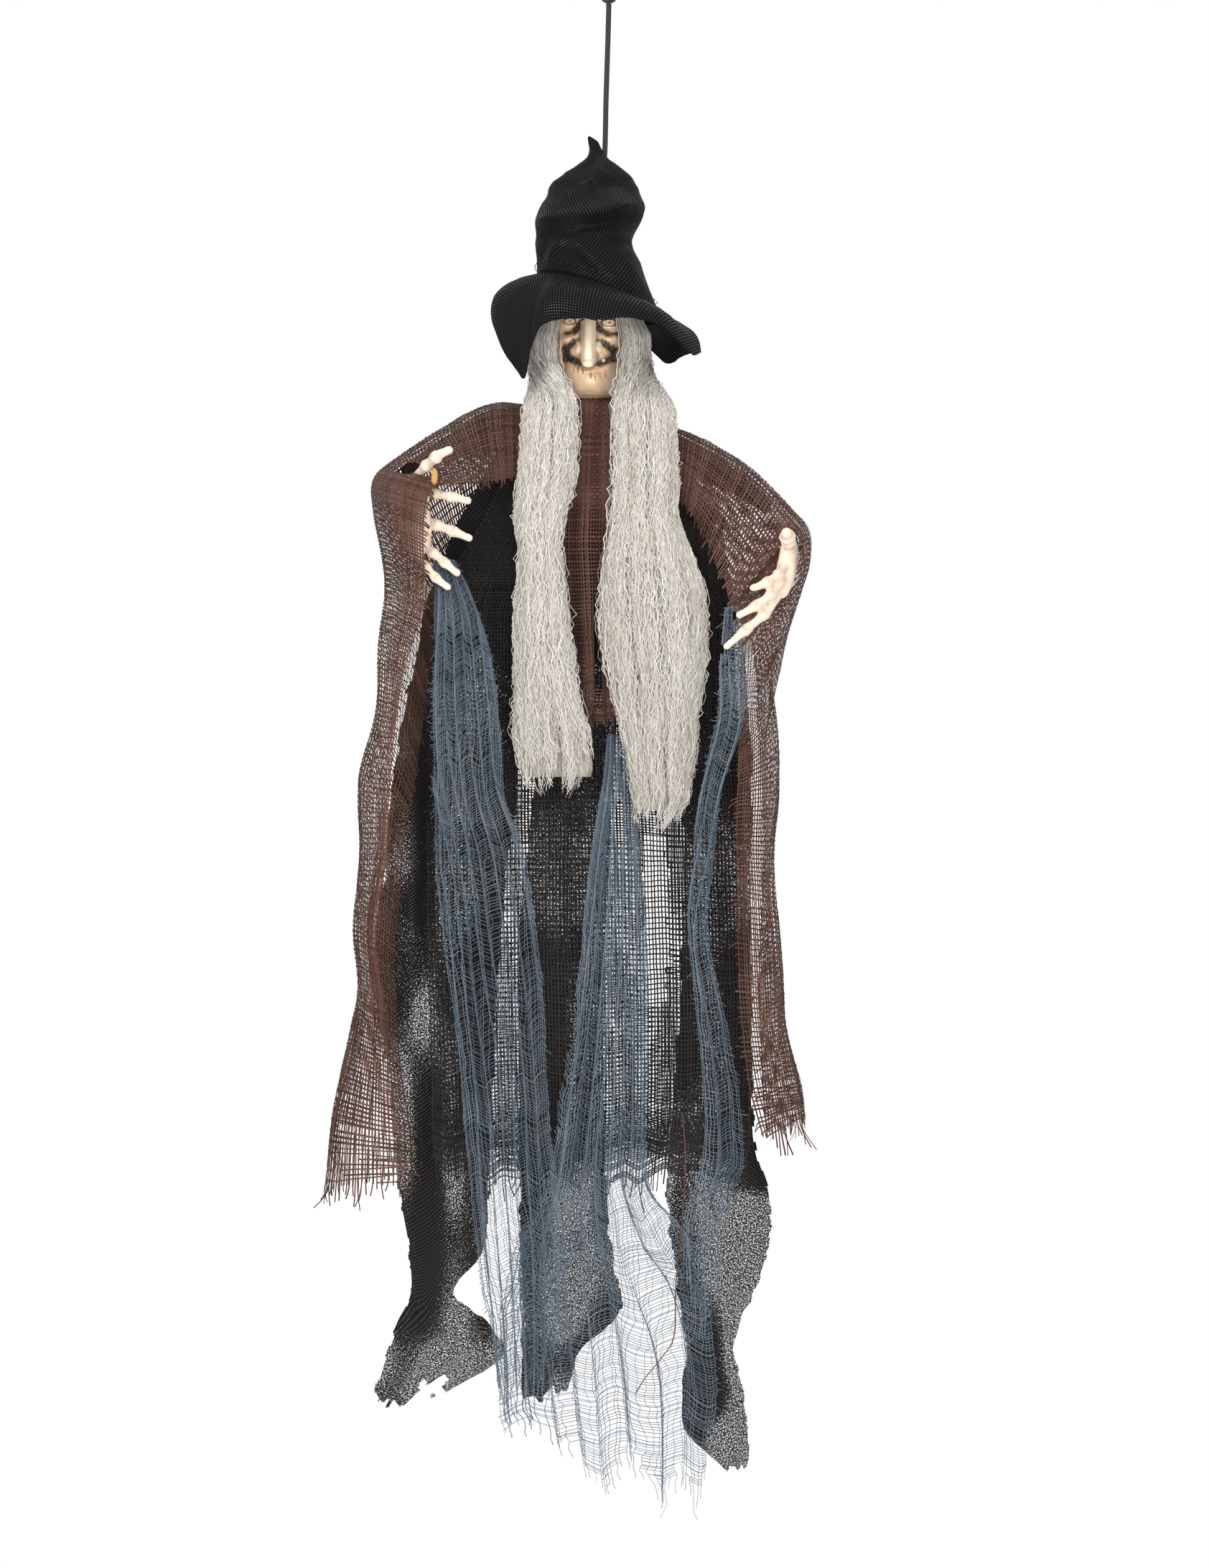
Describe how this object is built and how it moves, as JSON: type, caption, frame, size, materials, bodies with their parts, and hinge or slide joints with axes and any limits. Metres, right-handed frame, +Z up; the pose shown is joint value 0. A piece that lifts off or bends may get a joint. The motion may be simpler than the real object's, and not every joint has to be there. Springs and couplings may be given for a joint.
{
  "type": "hanging witch decoration",
  "caption": "Cloth witch figure hung on a black cord, with a crumpled pointed hat, grey hair, moulded face and hands, brown open-weave cape and ragged black and blue-grey gauze.",
  "frame": {"origin": "inside of the top of the hanging loop, where a hook takes it; the figure hangs below", "axes": "-Y is the figure's front, +X is to the right as one looks at its face, +Z is up"},
  "size_m": [0.2818, 0.1375, 0.91],
  "materials": {
    "cord_black": "braided black cord",
    "hat_cloth": "crumpled black embossed nonwoven",
    "skin_plastic": "painted moulded face, satin gloss",
    "hand_plastic": "soft matte moulding",
    "grey_hair": "frizzy grey-white synthetic hair",
    "dark_plastic": "moulded, hidden",
    "steel_wire": "bare wire, hidden",
    "white_wadding": "loose wadding, hidden",
    "brown_mesh": "coarse open weave with frayed edges",
    "black_gauze": "open gauze",
    "black_nonwoven": "thin black nonwoven, torn edges",
    "blue_gauze": "sheer blue-grey gauze",
    "hot_glue": "set glue"
  },
  "bodies": {
    "root": {"hanging_cord": "cord_black", "hanging_loop": "cord_black", "cord_knot": "cord_black", "hat_crown": "hat_cloth", "hat_brim": "hat_cloth", "head": "skin_plastic", "hand_left": "hand_plastic", "hand_right": "hand_plastic", "hair_left": "grey_hair", "hair_right": "grey_hair", "hair_back": "grey_hair", "neck_plug": "dark_plastic", "arm_wire": "steel_wire", "pad_left": "white_wadding", "pad_right": "white_wadding", "neck_collar": "brown_mesh", "neck_cloth": "brown_mesh", "cape_left": "brown_mesh", "cape_right": "brown_mesh", "gown_front": "black_gauze", "gown_back": "black_gauze", "panel_left": "black_nonwoven", "panel_centre": "black_nonwoven", "panel_right": "black_nonwoven", "gauze_left": "blue_gauze", "gauze_centre": "blue_gauze", "gauze_right": "blue_gauze", "glue_drop": "hot_glue"}
  },
  "joints": []
}
